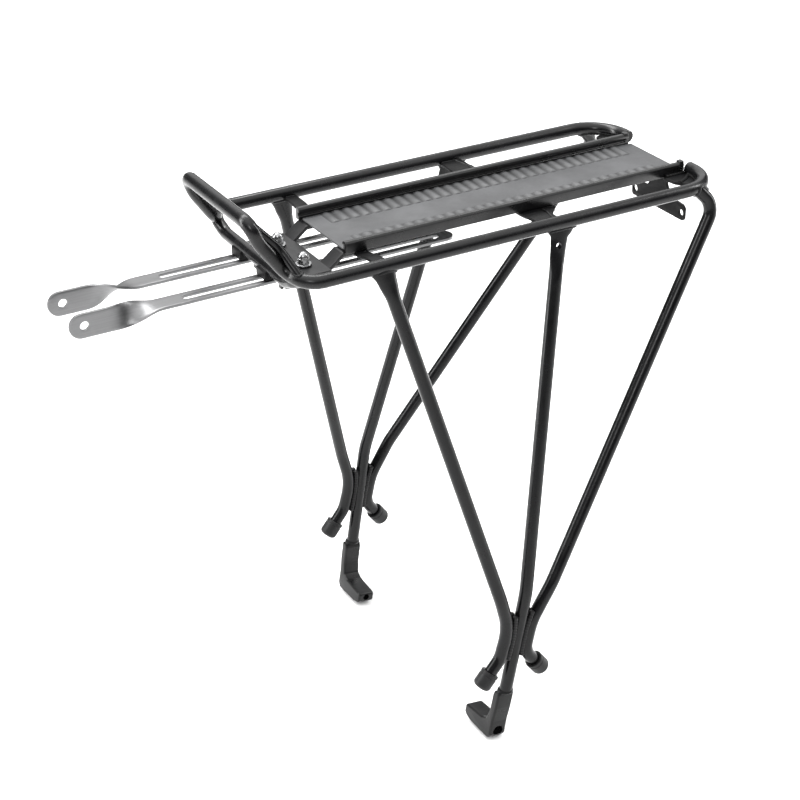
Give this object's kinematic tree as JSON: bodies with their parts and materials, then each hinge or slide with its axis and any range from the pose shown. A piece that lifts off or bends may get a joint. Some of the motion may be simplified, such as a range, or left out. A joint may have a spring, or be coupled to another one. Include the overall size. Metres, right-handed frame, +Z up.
{
  "type": "bicycle rear rack",
  "caption": "Bicycle rear rack: bent black tube frame with a raised front loop, splayed legs, ribbed platform, lamp bracket and two slotted sliding stays.",
  "frame": {"origin": "centre of the platform plate's top face", "axes": "+X towards the front of the bicycle, +Y to its left, +Z up"},
  "size_m": [0.4903, 0.256, 0.4408],
  "materials": {
    "tube_black": "satin black powder coat",
    "bar_black": "satin black",
    "sheet_black": "satin black powder coat",
    "plate_grey": "fine textured dark grey",
    "cap_grey": "matte grey moulded plastic",
    "brushed_steel": "brushed along the strip",
    "zinc_steel": "bright zinc plate"
  },
  "bodies": {
    "frame": {"frame_tube": "tube_black", "front_cross_tube": "tube_black", "brace_rod_left": "tube_black", "brace_rod_right": "tube_black", "front_leg_left": "tube_black", "front_leg_right": "tube_black", "middle_leg_left": "tube_black", "middle_leg_right": "tube_black", "rear_leg_left": "tube_black", "rear_leg_right": "tube_black", "foot_left": "tube_black", "foot_right": "tube_black", "front_stub_cap_left": "cap_grey", "front_stub_cap_right": "cap_grey", "rear_stub_cap_left": "cap_grey", "rear_stub_cap_right": "cap_grey", "platform_plate": "plate_grey", "platform_bar_left": "bar_black", "platform_bar_right": "bar_black", "front_strap": "sheet_black", "middle_strap": "sheet_black", "front_bracket": "sheet_black", "lamp_bracket": "sheet_black", "stay_saddle_left": "sheet_black", "stay_saddle_right": "sheet_black", "hook_web_left": "sheet_black", "hook_web_right": "sheet_black"},
    "fixing_left": {"stay_bolt_left": "zinc_steel", "stay_nut_left": "zinc_steel", "clamp_plate_left": "sheet_black"},
    "stay_left": {"stay_left": "brushed_steel"},
    "fixing_right": {"stay_bolt_right": "zinc_steel", "stay_nut_right": "zinc_steel", "clamp_plate_right": "sheet_black"},
    "stay_right": {"stay_right": "brushed_steel"}
  },
  "joints": [
    {"name": "swing_left", "type": "hinge", "parent": "frame", "child": "fixing_left", "pos_m": [0.1695, 0.019, -0.0137], "axis": [0, 0, 1], "range_deg": [-3, 3]},
    {"name": "slide_left", "type": "slide", "parent": "fixing_left", "child": "stay_left", "axis": [1, 0, 0], "range_m": [-0.07, 0.1]},
    {"name": "swing_right", "type": "hinge", "parent": "frame", "child": "fixing_right", "pos_m": [0.1695, -0.019, -0.0137], "axis": [0, 0, 1], "range_deg": [-3, 3]},
    {"name": "slide_right", "type": "slide", "parent": "fixing_right", "child": "stay_right", "axis": [1, 0, 0], "range_m": [-0.07, 0.1]}
  ]
}
